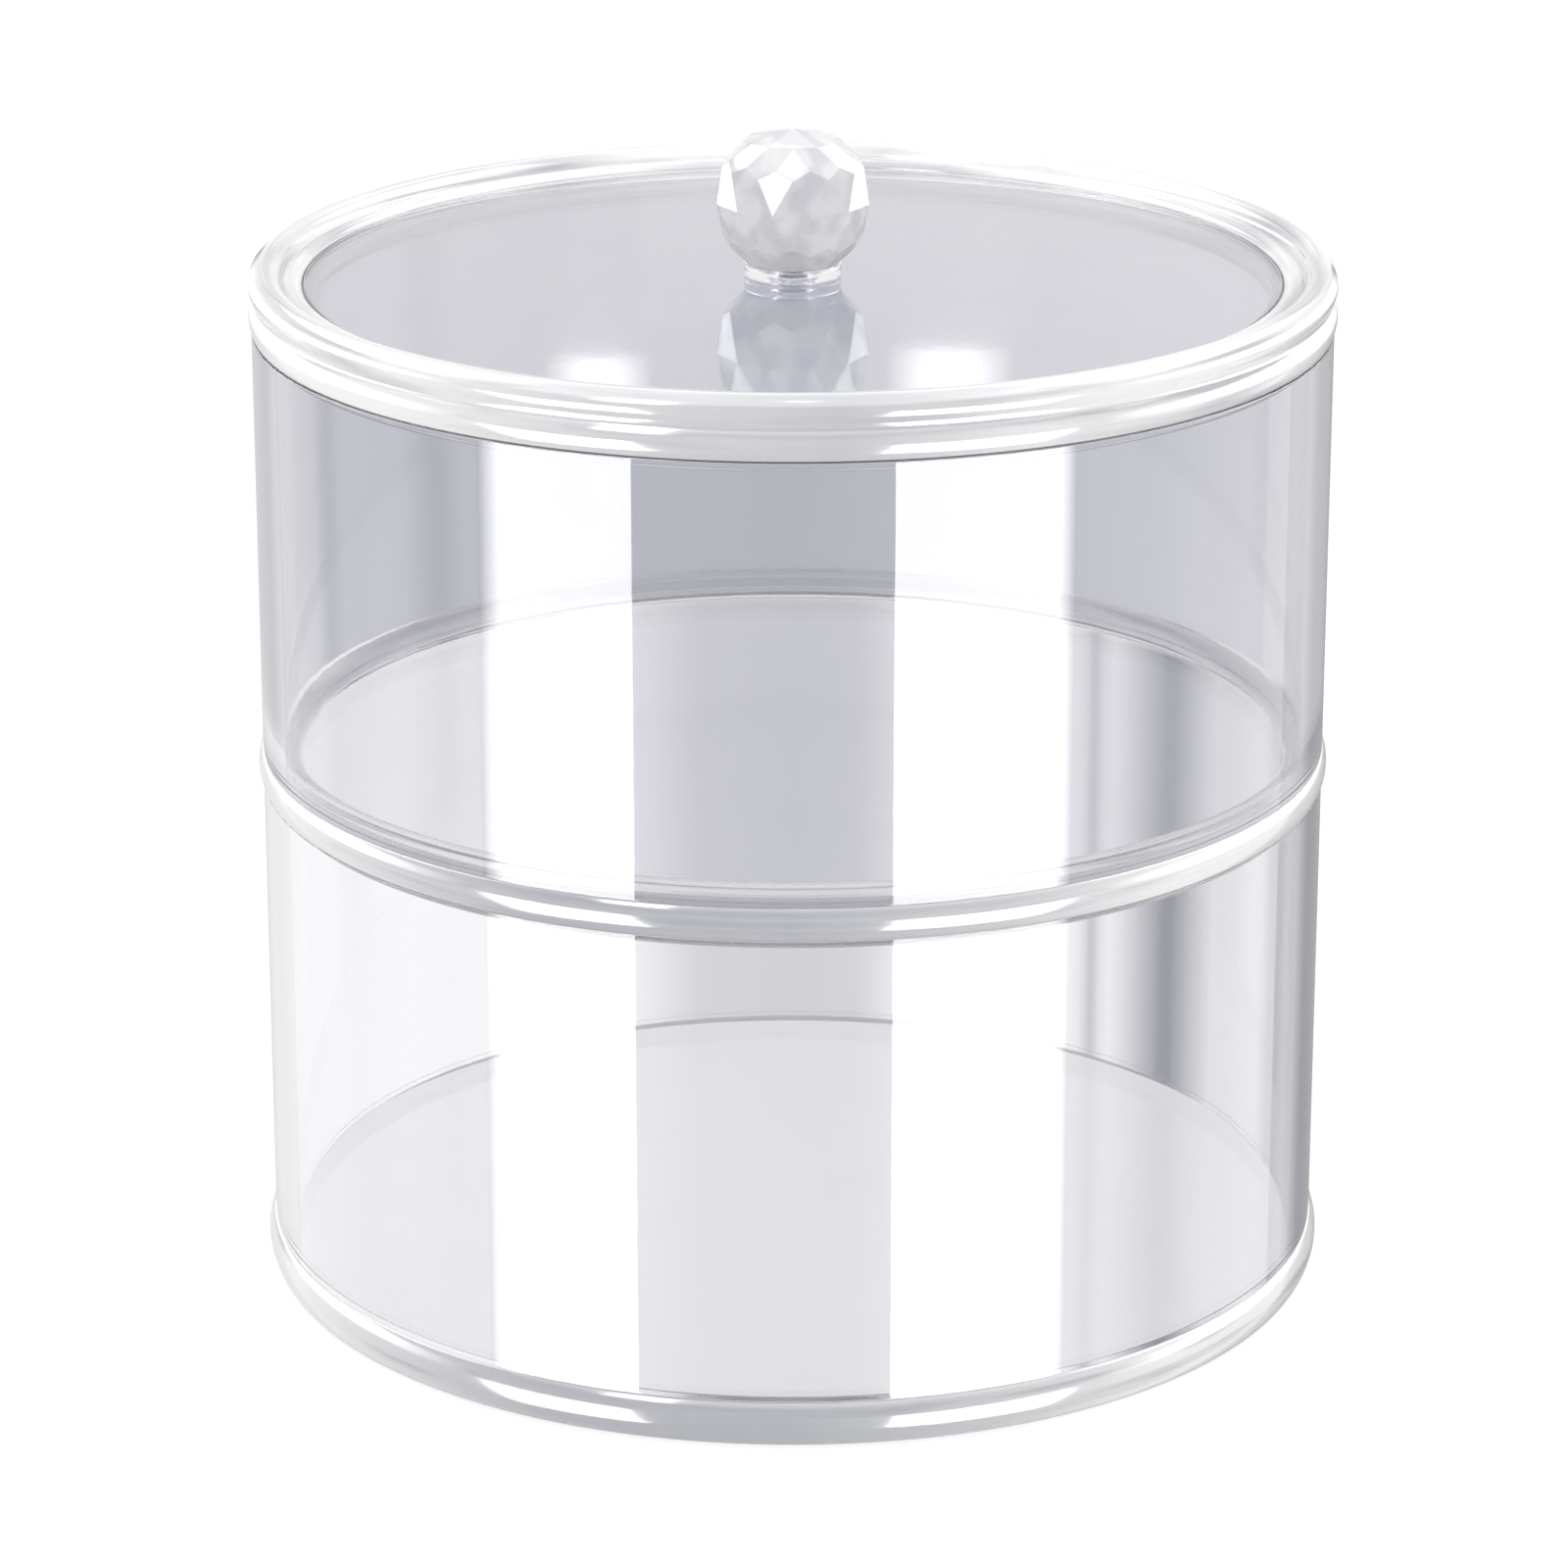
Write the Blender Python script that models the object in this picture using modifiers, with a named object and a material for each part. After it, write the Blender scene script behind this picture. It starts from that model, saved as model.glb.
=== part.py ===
"""A clear acrylic organizer: two round tiers that stack, and a lid with a faceted ball knob.

Metres, +Z up. The origin is the centre of the underside, where the organizer stands.
Each tier holds one rolled belt. The upper tier and the lid lift straight up.
"""

from math import asin, cos, hypot, pi, radians, sin, tau

import bmesh
import bpy
from mathutils import Vector

# Walls: two tubes of one diameter
WALL_RADIUS = 0.0600
WALL_THICKNESS = 0.0024
WALL_EDGE_ROUNDING = 0.0004
LOWER_WALL_HEIGHT = 0.0520
UPPER_WALL_HEIGHT = 0.0475

# Gaps where pieces are glued or rest on each other, and where one drops into another
SEAT_GAP = 0.0003
LOCATING_CLEARANCE = 0.0004

# Discs that the walls stand on, with a bead round each edge
BASE_THICKNESS = 0.0049
BASE_BEAD = 0.0008
FLOOR_THICKNESS = 0.0037
FLOOR_BEAD = 0.0005
LOCATING_DEPTH = 0.0015
FOOT_RING_WIDTH = 0.0020
FOOT_RING_HEIGHT = 0.0023

# Lid panel, and how far it lies below the rim's crest
PANEL_THICKNESS = 0.0026
PANEL_DEPTH = 0.0021
PANEL_EDGE_ROUNDING = 0.0003

# Lid rim: three beads round a ledge that carries the panel
RIM_OVERHANG = 0.0003
OUTER_BEAD_RADIUS = 0.0018
INNER_BEAD_WIDTH = 0.0024
INNER_BEAD_RISE = 0.0006
BEAD_GROOVE_WIDTH = 0.0008
LOWER_BEAD_RISE = 0.0005
LIP_THICKNESS = 0.0012
LEDGE_WIDTH = 0.0012
LEDGE_THICKNESS = 0.0021

# Knob: a faceted ball on a collar, held by a pin
BALL_RADIUS = 0.0087
BALL_FLAT_DEPTH = 0.0069
COLLAR_RADIUS = 0.0054
COLLAR_HEIGHT = 0.0010
COLLAR_EDGE_ROUNDING = 0.0004
PIN_RADIUS = 0.0016
PIN_REACH = 0.0040
PIN_EDGE_ROUNDING = 0.0003

# How far a cutter runs past the face it cuts, and how close points are to be one
CUT_OVERRUN = 0.0010
MERGE_DISTANCE = 0.00001

# Facets of the ball: how many go round, how high the crown's point is as a share of the ball's radius,
# and how far above the ball's middle the side corners of the large kites lie, as an angle at its centre
FACETS_AROUND = 12
CROWN_SHARE = 0.93
KITE_SIDE_LATITUDE = radians(26)

# Shape of the beads: how far the foot ring swells, and where the rim's outer bead ends
FOOT_RING_RISE_SHARE = 0.2
OUTER_BEAD_END = -pi / 5

# Fineness of the turned shapes
TURN_STEPS = 48
PIN_STEPS = 24
BEAD_STEPS = 6
CORNER_STEPS = 2

# Radii and heights that follow from the sizes above
WALL_BORE = WALL_RADIUS - WALL_THICKNESS
LOCATING_RADIUS = WALL_BORE - LOCATING_CLEARANCE
LOWER_WALL_Z = BASE_THICKNESS + SEAT_GAP
FLOOR_Z = LOWER_WALL_Z + LOWER_WALL_HEIGHT + SEAT_GAP
UPPER_WALL_Z = FLOOR_Z + FLOOR_THICKNESS + SEAT_GAP
LID_Z = UPPER_WALL_Z + UPPER_WALL_HEIGHT + SEAT_GAP
RIM_RADIUS = WALL_RADIUS + RIM_OVERHANG
RIM_BORE = RIM_RADIUS - 2 * OUTER_BEAD_RADIUS - INNER_BEAD_WIDTH
PANEL_RADIUS = RIM_BORE - SEAT_GAP
PANEL_FOOT = LEDGE_THICKNESS + SEAT_GAP
PANEL_TOP = PANEL_FOOT + PANEL_THICKNESS
RIM_HEIGHT = PANEL_TOP + PANEL_DEPTH
COLLAR_FOOT = PANEL_TOP + SEAT_GAP
BALL_FOOT = COLLAR_FOOT + COLLAR_HEIGHT + SEAT_GAP
BALL_CENTRE = BALL_FOOT + BALL_FLAT_DEPTH
PIN_HOLE_RADIUS = PIN_RADIUS + SEAT_GAP


def clear_scene():
    for old in list(bpy.data.objects):
        bpy.data.objects.remove(old)


def new_collection(name):
    made = bpy.data.collections.new(name)
    bpy.context.scene.collection.children.link(made)
    return made


def acrylic(name, colour, roughness):
    """Clear plastic: light passes through it and takes a faint tint."""
    made = bpy.data.materials.new(name)
    made.use_nodes = True
    shader = made.node_tree.nodes["Principled BSDF"]
    shader.inputs["Base Color"].default_value = (*colour, 1)
    shader.inputs["Roughness"].default_value = roughness
    shader.inputs["Metallic"].default_value = 0
    shader.inputs["IOR"].default_value = 1.49
    shader.inputs["Transmission Weight"].default_value = 1
    return made


def arc(centre, radius, start, end, steps):
    """Points on a circle in the profile plane, from one angle to another, both ends included."""
    angles = [start + (end - start) * step / steps for step in range(steps + 1)]
    return [(centre[0] + radius * cos(a), centre[1] + radius * sin(a)) for a in angles]


def bulge(start, end, rise, steps=BEAD_STEPS):
    """Points on the arc between two points that stands out to the left of the chord by the given rise."""
    chord = Vector(end) - Vector(start)
    out = Vector((-chord.y, chord.x)).normalized()
    radius = (chord.length / 2) ** 2 / (2 * rise) + rise / 2
    middle = (Vector(start) + Vector(end)) / 2
    centre = middle + out * (rise - radius)
    half_angle = asin(min(1, chord.length / (2 * radius)))
    if rise > radius:
        half_angle = pi - half_angle
    along = chord.normalized()
    turns = [half_angle * (2 * step / steps - 1) for step in range(steps + 1)]
    return [tuple(centre + out * radius * cos(t) + along * radius * sin(t)) for t in turns]


def rounded_corner(corner, rounding, quarter):
    """A quarter circle inside a square corner, run clockwise. Quarter 0 is the outer top corner, 1 the
    outer bottom, 2 the inner bottom and 3 the inner top."""
    outward, upward = ((1, 1), (1, -1), (-1, -1), (-1, 1))[quarter]
    centre = (corner[0] - outward * rounding, corner[1] - upward * rounding)
    start = pi / 2 - quarter * pi / 2
    return arc(centre, rounding, start, start - pi / 2, CORNER_STEPS)


def ring_profile(inner, outer, height, rounding):
    """A ring's section with its foot at zero and all four edges rounded, run clockwise."""
    corners = ((outer, height), (outer, 0), (inner, 0), (inner, height))
    return [
        point
        for quarter, corner in enumerate(corners)
        for point in rounded_corner(corner, rounding, quarter)
    ]


def turned(name, profile, place, collection, material=None, closed=True, steps=TURN_STEPS):
    """The profile, as (radius, height) points run clockwise, turned about the Z axis of its place."""
    mesh = bpy.data.meshes.new(name)
    edges = [(i, i + 1) for i in range(len(profile) - 1)]
    if closed:
        edges.append((len(profile) - 1, 0))
    mesh.from_pydata([(radius, 0, height) for radius, height in profile], edges, [])
    piece = bpy.data.objects.new(name, mesh)
    collection.objects.link(piece)
    piece.location = place
    screw = piece.modifiers.new("turn", "SCREW")
    screw.axis = "Z"
    screw.angle = tau
    screw.steps = steps
    screw.render_steps = steps
    screw.use_merge_vertices = True
    screw.merge_threshold = MERGE_DISTANCE
    screw.use_smooth_shade = True
    piece.modifiers.new("flat faces stay flat", "WEIGHTED_NORMAL")
    if material:
        mesh.materials.append(material)
    return piece


def disc_edge(radius, thickness, bead):
    """The outside of a disc: a bead that stands out past the wall, from the top face to the underside."""
    return bulge((radius, thickness), (radius, 0), bead)


def base_plate(collection, material):
    profile = [(0, BASE_THICKNESS), *disc_edge(WALL_RADIUS, BASE_THICKNESS, BASE_BEAD), (0, 0)]
    return turned("base_plate", profile, (0, 0, 0), collection, material, closed=False)


def wall(name, height, place, collection, material):
    profile = ring_profile(WALL_BORE, WALL_RADIUS, height, WALL_EDGE_ROUNDING)
    return turned(name, profile, place, collection, material)


def upper_floor(collection, material):
    """The disc under the upper tier, with a step below it that drops into the lower wall."""
    profile = [
        (0, FLOOR_THICKNESS),
        *disc_edge(WALL_RADIUS, FLOOR_THICKNESS, FLOOR_BEAD),
        (LOCATING_RADIUS, 0),
        *rounded_corner((LOCATING_RADIUS, -LOCATING_DEPTH), WALL_EDGE_ROUNDING, 1),
        (0, -LOCATING_DEPTH),
    ]
    return turned("upper_floor", profile, (0, 0, 0), collection, material, closed=False)


def upper_foot_ring(place, collection, material):
    """A bead in the corner between the upper wall and its floor."""
    outer = WALL_BORE - SEAT_GAP
    inner = outer - FOOT_RING_WIDTH
    rise = FOOT_RING_RISE_SHARE * hypot(FOOT_RING_WIDTH, FOOT_RING_HEIGHT)
    profile = [*bulge((inner, 0), (outer, FOOT_RING_HEIGHT), rise), (outer, 0)]
    return turned("upper_foot_ring", profile, place, collection, material)


def lid_rim(collection, material):
    """The rim's section, run clockwise from the panel's edge over the beads and back under the ledge."""
    outer_centre = (RIM_RADIUS - OUTER_BEAD_RADIUS, RIM_HEIGHT - OUTER_BEAD_RADIUS)
    outer_bead = arc(outer_centre, OUTER_BEAD_RADIUS, pi, OUTER_BEAD_END, 2 * BEAD_STEPS)
    inner_bead = bulge((RIM_BORE, PANEL_TOP), outer_bead[0], INNER_BEAD_RISE)
    lower_bead_radius = RIM_RADIUS - LOWER_BEAD_RISE
    lower_bead_top = outer_bead[-1][1] - BEAD_GROOVE_WIDTH
    lower_bead = bulge((lower_bead_radius, lower_bead_top), (lower_bead_radius, 0), LOWER_BEAD_RISE)
    lip_bore = LOCATING_RADIUS - LIP_THICKNESS
    profile = [
        *inner_bead[:-1],
        *outer_bead,
        *lower_bead,
        (LOCATING_RADIUS, 0),
        *rounded_corner((LOCATING_RADIUS, -LOCATING_DEPTH), WALL_EDGE_ROUNDING, 1),
        *rounded_corner((lip_bore, -LOCATING_DEPTH), WALL_EDGE_ROUNDING, 2),
        (lip_bore, 0),
        (RIM_BORE - LEDGE_WIDTH, 0),
        (RIM_BORE - LEDGE_WIDTH, LEDGE_THICKNESS),
        (RIM_BORE, LEDGE_THICKNESS),
    ]
    return turned("lid_rim", profile, (0, 0, 0), collection, material)


def lid_panel(collection, material):
    profile = ring_profile(PIN_HOLE_RADIUS, PANEL_RADIUS, PANEL_THICKNESS, PANEL_EDGE_ROUNDING)
    return turned("lid_panel", profile, (0, 0, PANEL_FOOT), collection, material)


def knob_collar(collection, material):
    profile = ring_profile(PIN_HOLE_RADIUS, COLLAR_RADIUS, COLLAR_HEIGHT, COLLAR_EDGE_ROUNDING)
    return turned("knob_collar", profile, (0, 0, COLLAR_FOOT), collection, material, steps=PIN_STEPS)


def knob_pin(collection, material):
    """A pin from the panel's underside up into the ball."""
    height = BALL_FOOT + PIN_REACH - PANEL_FOOT
    profile = [
        (0, height),
        *rounded_corner((PIN_RADIUS, height), PIN_EDGE_ROUNDING, 0),
        *rounded_corner((PIN_RADIUS, 0), PIN_EDGE_ROUNDING, 1),
        (0, 0),
    ]
    place = (0, 0, PANEL_FOOT)
    return turned("knob_pin", profile, place, collection, material, closed=False, steps=PIN_STEPS)


def ball_rings():
    """Height, radius and half turn of each ring of corners. The corners lie on one ball, down to the
    flat foot. Each ring is turned by half a facet from the next, and its height is where the kites are
    flat, so that rows of large and small kites meet, with triangles between them."""
    half_facet = pi / FACETS_AROUND
    side_height = BALL_RADIUS * sin(KITE_SIDE_LATITUDE)
    side_radius = BALL_RADIUS * cos(KITE_SIDE_LATITUDE)
    slope = (BALL_RADIUS - side_radius * cos(half_facet)) / side_height
    tip_height = 2 * slope * BALL_RADIUS / (1 + slope**2)
    tip_radius = BALL_RADIUS - slope * tip_height
    shoulder_slope = (side_radius - tip_radius * cos(half_facet)) / (tip_height - side_height)
    shoulder_rise = 2 * (shoulder_slope * side_radius - side_height) / (1 + shoulder_slope**2)
    shoulder_radius = side_radius - shoulder_slope * shoulder_rise
    foot_radius = side_radius - shoulder_slope * (BALL_FLAT_DEPTH - side_height)
    return [
        (side_height + shoulder_rise, shoulder_radius, False),
        (tip_height, tip_radius, True),
        (side_height, side_radius, False),
        (0, BALL_RADIUS, True),
        (-side_height, side_radius, False),
        (-tip_height, tip_radius, True),
        (-BALL_FLAT_DEPTH, foot_radius, False),
    ]


def ball_corners():
    """The corners of the facets: the crown's point, and then each ring."""
    corners = [(0, 0, CROWN_SHARE * BALL_RADIUS)]
    for height, radius, half_turned in ball_rings():
        for facet in range(FACETS_AROUND):
            angle = tau * (facet + half_turned / 2) / FACETS_AROUND
            corners.append((radius * cos(angle), radius * sin(angle), height))
    return corners


def knob_ball(collection, material):
    body = bmesh.new()
    for corner in ball_corners():
        body.verts.new(corner)
    bmesh.ops.convex_hull(body, input=body.verts)
    bmesh.ops.recalc_face_normals(body, faces=body.faces)
    mesh = bpy.data.meshes.new("knob_ball")
    body.to_mesh(mesh)
    body.free()
    mesh.materials.append(material)
    piece = bpy.data.objects.new("knob_ball", mesh)
    collection.objects.link(piece)
    piece.location = (0, 0, BALL_CENTRE)
    return piece


def cut_socket(ball, cutters):
    """The blind hole in the ball's foot that takes the pin."""
    depth = PIN_REACH + SEAT_GAP
    profile = [(0, depth), (PIN_HOLE_RADIUS, depth), (PIN_HOLE_RADIUS, -CUT_OVERRUN), (0, -CUT_OVERRUN)]
    place = (0, 0, BALL_FOOT)
    cutter = turned("socket_cutter", profile, place, cutters, closed=False, steps=PIN_STEPS)
    cutter.hide_render = True
    cutter.display_type = "WIRE"
    hole = ball.modifiers.new("pin socket", "BOOLEAN")
    hole.operation = "DIFFERENCE"
    hole.solver = "EXACT"
    hole.object = cutter
    return cutter


def mover(name, height, collection):
    """An empty on the axis that a body's pieces hang from, so that the body lifts as one."""
    made = bpy.data.objects.new(name, None)
    made.empty_display_size = WALL_RADIUS
    made.location = (0, 0, height)
    collection.objects.link(made)
    return made


def main():
    clear_scene()
    parts = new_collection("acrylic_belt_organizer")
    cutters = new_collection("cutters")
    sheet = acrylic("clear_sheet", (0.93, 0.94, 0.96), 0.03)
    tube = acrylic("clear_tube", (0.94, 0.94, 0.96), 0.03)
    moulded = acrylic("clear_moulded", (0.97, 0.97, 0.98), 0.06)
    crystal = acrylic("cut_crystal", (0.98, 0.98, 0.99), 0.01)

    base_plate(parts, sheet)
    wall("lower_wall", LOWER_WALL_HEIGHT, (0, 0, LOWER_WALL_Z), parts, tube)

    on_floor = (0, 0, FLOOR_THICKNESS + SEAT_GAP)
    upper_tier = [
        upper_floor(parts, sheet),
        wall("upper_wall", UPPER_WALL_HEIGHT, on_floor, parts, tube),
        upper_foot_ring(on_floor, parts, moulded),
    ]
    ball = knob_ball(parts, crystal)
    lid = [
        lid_rim(parts, moulded),
        lid_panel(parts, sheet),
        knob_collar(parts, moulded),
        knob_pin(parts, moulded),
        ball,
        cut_socket(ball, cutters),
    ]

    upper_mover = mover("upper_tier_lift", FLOOR_Z, parts)
    lid_mover = mover("lid_lift", LID_Z - FLOOR_Z, parts)
    lid_mover.parent = upper_mover
    for piece in upper_tier:
        piece.parent = upper_mover
    for piece in lid:
        piece.parent = lid_mover


main()
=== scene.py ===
# %% [markdown]
# # A clear acrylic organizer
#
# A round box in two tiers, made of clear acrylic: two tubes of one diameter, each standing on a disc,
# and a lid with a soft moulded rim, a flat panel and a faceted ball for a knob. Everything but the ball
# is round about one axis, so most pieces here are one section turned about Z. What makes such an object
# look real is the glass-like material, the small roundings that catch light, and the light itself.
#
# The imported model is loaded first. Each of its nodes is then replaced by a finer surface in the same
# place, because 48 flat sides are enough for a simulation but show as facets in clear plastic.

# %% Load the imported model
import math

import bpy
import numpy as np
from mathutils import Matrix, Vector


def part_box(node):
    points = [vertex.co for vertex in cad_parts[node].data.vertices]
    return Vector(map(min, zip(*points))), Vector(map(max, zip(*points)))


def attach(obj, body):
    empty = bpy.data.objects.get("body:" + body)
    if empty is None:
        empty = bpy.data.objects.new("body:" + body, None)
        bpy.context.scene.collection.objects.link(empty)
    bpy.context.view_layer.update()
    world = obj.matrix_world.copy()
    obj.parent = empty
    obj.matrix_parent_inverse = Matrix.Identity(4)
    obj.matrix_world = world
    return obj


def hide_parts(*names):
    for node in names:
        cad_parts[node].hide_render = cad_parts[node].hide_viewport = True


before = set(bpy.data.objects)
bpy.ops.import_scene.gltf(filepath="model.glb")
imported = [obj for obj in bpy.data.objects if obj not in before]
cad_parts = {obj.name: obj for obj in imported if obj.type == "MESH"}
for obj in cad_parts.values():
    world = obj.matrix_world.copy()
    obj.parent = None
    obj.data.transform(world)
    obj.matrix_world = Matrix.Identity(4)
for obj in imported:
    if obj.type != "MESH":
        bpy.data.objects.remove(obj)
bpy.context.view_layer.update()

scene = bpy.context.scene
print("nodes:", ", ".join(sorted(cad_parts)))

# %% [markdown]
# ## Camera
#
# The photograph looks down on the box at about 18 degrees from a long way off, with a long lens, so that
# the walls look almost upright. The camera was fitted to the edges of the round pieces. A shorter
# distance with a wider lens could frame the box as well, but the ellipses of lid and base would then
# differ too much in how round they are.

# %% Camera
CAMERA_DISTANCE = 0.650
CAMERA_HEIGHT = 0.2735
CAMERA_SIDE = -0.00098
CAMERA_PITCH = math.radians(18.6)
LENS_MM = 138.06

camera_data = bpy.data.cameras.new("camera")
camera_data.lens = LENS_MM
camera_data.sensor_width = 36
camera_data.clip_start = 0.05
camera_data.clip_end = 50
camera = bpy.data.objects.new("camera", camera_data)
scene.collection.objects.link(camera)
camera.location = (CAMERA_SIDE, -CAMERA_DISTANCE, CAMERA_HEIGHT)
camera.rotation_euler = (math.pi / 2 - CAMERA_PITCH, 0, 0)
scene.camera = camera
print("camera at", tuple(round(value, 4) for value in camera.location), "lens", LENS_MM, "mm")

# %% [markdown]
# ## Shader sums
#
# A procedural finish is a little graph of nodes. Linking them by hand takes many lines, so a wire here
# is an object that can be added and multiplied: each sum adds the Math node that does it.

# %% Wires and finishes
class Wire:
    """One output of a shader node. A sum on it adds a Math node and gives that node's output."""

    def __init__(self, graph, socket):
        self.graph = graph
        self.socket = socket

    def sum_of(self, operation, first, second):
        return self.graph.node("ShaderNodeMath", {"operation": operation}, {0: first, 1: second})

    def __add__(self, other):
        return self.sum_of("ADD", self, other)

    def __sub__(self, other):
        return self.sum_of("SUBTRACT", self, other)

    def __rsub__(self, other):
        return self.sum_of("SUBTRACT", other, self)

    def __mul__(self, other):
        return self.sum_of("MULTIPLY", self, other)

    def __pow__(self, other):
        return self.sum_of("POWER", self, other)

    __radd__ = __add__
    __rmul__ = __mul__


class Graph:
    """The nodes of a material or of the world, and the shader that they feed."""

    def __init__(self, owner, shader):
        owner.use_nodes = True
        self.owner = owner
        self.tree = owner.node_tree
        self.shader = self.tree.nodes[shader]

    def set(self, **sockets):
        """Feeds the shader's sockets, named with _ for a space."""
        for name, value in sockets.items():
            self.feed(self.shader.inputs[name.replace("_", " ")], value)

    def feed(self, socket, value):
        """Links a wire to a socket, or sets the socket to a number, colour or vector."""
        if isinstance(value, Wire):
            self.tree.links.new(value.socket, socket)
        else:
            socket.default_value = value

    def node(self, kind, settings=None, sockets=None, output=0):
        """Adds a node with its settings first, then its sockets, and gives the wire of one output."""
        made = self.tree.nodes.new(kind)
        for name, value in (settings or {}).items():
            if name == "stops":
                self.set_stops(made.color_ramp, value)
            else:
                setattr(made, name, value)
        for name, value in (sockets or {}).items():
            self.feed(made.inputs[name], value)
        return Wire(self, made.outputs[output])

    def set_stops(self, ramp, stops):
        """Puts the stops, as (place, grey level) pairs, on a colour ramp that starts with two."""
        while len(ramp.elements) < len(stops):
            ramp.elements.new(0.5)
        for element, (place, level) in zip(ramp.elements, stops):
            element.position = place
            element.color = (level, level, level, 1)

    def noise(self, where, scale, detail=2.0, roughness=0.5):
        """Soft random values near 0.5, from 0 to 1."""
        sockets = {"Vector": where, "Scale": scale, "Detail": detail, "Roughness": roughness}
        return self.node("ShaderNodeTexNoise", {}, sockets, "Fac")

    def place(self, scale=(1, 1, 1)):
        """The point on the object in metres, stretched by a scale."""
        here = self.node("ShaderNodeTexCoord", output="Object")
        return self.node("ShaderNodeMapping", {}, {"Vector": here, "Scale": scale})

    def blend(self, share, first, second):
        """A colour between two colours."""
        settings = {"data_type": "RGBA"}
        return self.node("ShaderNodeMix", settings, {0: share, 6: first, 7: second}, 2)

    def axes(self):
        """The x, y and z of the point on the object, in metres."""
        here = self.node("ShaderNodeTexCoord", output="Object")
        return [self.node("ShaderNodeSeparateXYZ", {}, {0: here}, axis) for axis in "XYZ"]

    def ramp(self, stops, place):
        """A grey level read from (place, level) stops."""
        return self.node("ShaderNodeValToRGB", {"stops": stops}, {0: place})


def finish(name):
    """A new material, with the graph that feeds its Principled shader."""
    return Graph(bpy.data.materials.new(name), "Principled BSDF")


print("wires and finishes ready")

# %% [markdown]
# ## Turned surfaces
#
# A tube, disc or bead is a section turned about the axis. Blender's Spin tool or Screw modifier could
# do this, but a formula on a grid says exactly where each point goes, and closes the poles by itself.

# %% Turned surfaces
SECTORS = 256
BULGE_STEPS = 16
CORNER_STEPS = 5
SUPPORT = 0.00008


def mesh_piece(name, points, faces, smooth=True):
    """An object at the origin whose mesh has these points and faces."""
    mesh = bpy.data.meshes.new(name)
    mesh.from_pydata(points, [], faces)
    mesh.polygons.foreach_set("use_smooth", np.full(len(mesh.polygons), smooth))
    mesh.update()
    piece = bpy.data.objects.new(name, mesh)
    scene.collection.objects.link(piece)
    return piece


def turned(name, section, sectors=SECTORS):
    """A section turned about Z. Point (i, j) is (r_i cos t_j, r_i sin t_j, z_i), where (r_i, z_i) runs
    clockwise along the section and t_j runs once round. A section that starts and ends on the axis has
    one point at each pole; any other section is a ring, whose last point joins its first."""
    section = np.asarray(section, float)
    has_poles = section[0, 0] < 1e-9
    body = section[1:-1] if has_poles else section
    turn = np.linspace(0, 2 * np.pi, sectors, endpoint=False)
    radius, height = body[:, :1], body[:, 1:]
    grid = np.stack([radius * np.cos(turn), radius * np.sin(turn), height + 0 * turn], axis=-1)
    rows = len(body)
    index = np.arange(rows * sectors).reshape(rows, sectors)
    after = np.roll(index, -1, axis=1)
    below, below_after = np.roll(index, -1, axis=0), np.roll(after, -1, axis=0)
    quads = np.stack([index, below, below_after, after], axis=-1)
    if has_poles:
        quads = quads[:-1]
    faces = quads.reshape(-1, 4).tolist()
    points = grid.reshape(-1, 3)
    if has_poles:
        top, foot = rows * sectors, rows * sectors + 1
        points = np.vstack([points, [[0, 0, section[0, 1]], [0, 0, section[-1, 1]]]])
        caps = np.stack([np.full(sectors, top), index[0], after[0]], axis=-1)
        bases = np.stack([np.full(sectors, foot), after[-1], index[-1]], axis=-1)
        faces += caps.tolist() + bases.tolist()
    return mesh_piece(name, points, faces)


def arc(centre, radius, start, end, steps):
    """Points on a circle: centre + radius (cos a, sin a), for angles a from start to end."""
    angle = np.linspace(start, end, steps + 1)
    return np.stack([centre[0] + radius * np.cos(angle), centre[1] + radius * np.sin(angle)], axis=1)


def bulge(start, end, rise, steps=BULGE_STEPS):
    """The arc between two points that stands out by the rise to the left of the line between them."""
    start, end = np.asarray(start, float), np.asarray(end, float)
    chord = end - start
    length = np.hypot(*chord)
    out = np.array([-chord[1], chord[0]]) / length
    radius = (length / 2) ** 2 / (2 * rise) + rise / 2
    centre = (start + end) / 2 + out * (rise - radius)
    half = math.asin(min(1, length / (2 * radius)))
    if rise > radius:
        half = math.pi - half
    turn = np.linspace(-half, half, steps + 1)[:, None]
    return centre + out * radius * np.cos(turn) + chord / length * radius * np.sin(turn)


def corner(radius, height, rounding, quarter, steps=CORNER_STEPS):
    """A rounded corner with a point just before and after it, so that the flats beside it stay flat.
    Quarter 0 is the outer top corner, 1 the outer bottom, 2 the inner bottom and 3 the inner top."""
    outward, upward = ((1, 1), (1, -1), (-1, -1), (-1, 1))[quarter]
    centre = (radius - outward * rounding, height - upward * rounding)
    start = math.pi / 2 - quarter * math.pi / 2
    points = arc(centre, rounding, start, start - math.pi / 2, steps)
    along_first = np.array([math.sin(start), -math.cos(start)]) * -SUPPORT
    along_last = np.array([math.sin(start - math.pi / 2), -math.cos(start - math.pi / 2)]) * SUPPORT
    return np.vstack([points[0] + along_first, points, points[-1] + along_last])


def ring_section(inner, outer, foot, top, rounding):
    """A tube's section with its four edges rounded, run clockwise from the outer top."""
    return np.vstack([
        corner(outer, top, rounding, 0),
        corner(outer, foot, rounding, 1),
        corner(inner, foot, rounding, 2),
        corner(inner, top, rounding, 3),
    ])


print("one turn is", SECTORS, "sectors")

# %% [markdown]
# ## Walls, discs and foot ring
#
# The walls are cut from acrylic tube and polished at both ends, and the discs are turned from sheet with
# a bead left round the edge. On the real box they are glued, and the glue line is only a hair wide, so
# the pieces meet here with a gap far smaller than the one the simulation needs.

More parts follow.
